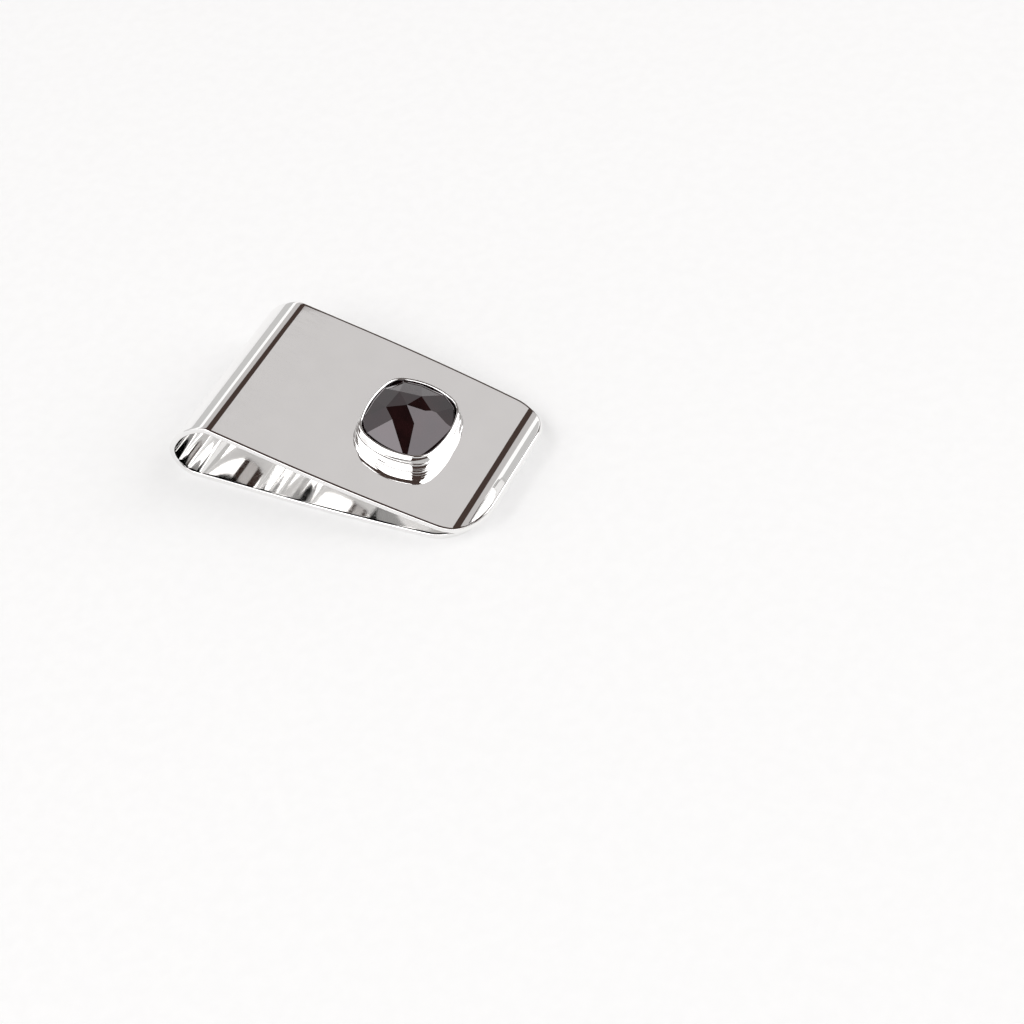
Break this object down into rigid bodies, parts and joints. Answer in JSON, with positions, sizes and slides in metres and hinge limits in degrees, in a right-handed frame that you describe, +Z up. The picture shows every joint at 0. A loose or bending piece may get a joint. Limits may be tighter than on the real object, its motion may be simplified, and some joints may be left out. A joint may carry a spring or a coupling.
{
  "type": "money clip",
  "caption": "Folded spring-strip money clip with a flared lip and a stepped bezel that holds a faceted cushion stone.",
  "frame": {"origin": "middle of the bounding box's base, on the underside of the back leaf", "axes": "+X from the fold to the open lip, +Y across the strip, +Z up from the back leaf to the front leaf"},
  "size_m": [0.0396, 0.0224, 0.009],
  "materials": {
    "polished_silver": "mirror-polished sterling silver",
    "seat_silver": "cast silver left as filed, out of sight under the stone",
    "dark_stone": "very dark red rose-cut stone, polished facets"
  },
  "bodies": {
    "back_half": {"back_leaf": "polished_silver", "spring_bend": "polished_silver"},
    "front_half": {"front_leaf": "polished_silver", "bezel_base": "polished_silver", "bezel_middle": "polished_silver", "bezel_collar": "polished_silver", "stone_seat": "seat_silver", "gemstone": "dark_stone"}
  },
  "joints": [
    {"name": "clip_spring", "type": "hinge", "parent": "back_half", "child": "front_half", "pos_m": [-0.01624, 0, 0.0044], "axis": [0, -1, 0], "range_deg": [0, 7], "stiffness_Nm_per_rad": 0.2, "springref_deg": -6.88, "deforming": ["spring_bend"]}
  ]
}
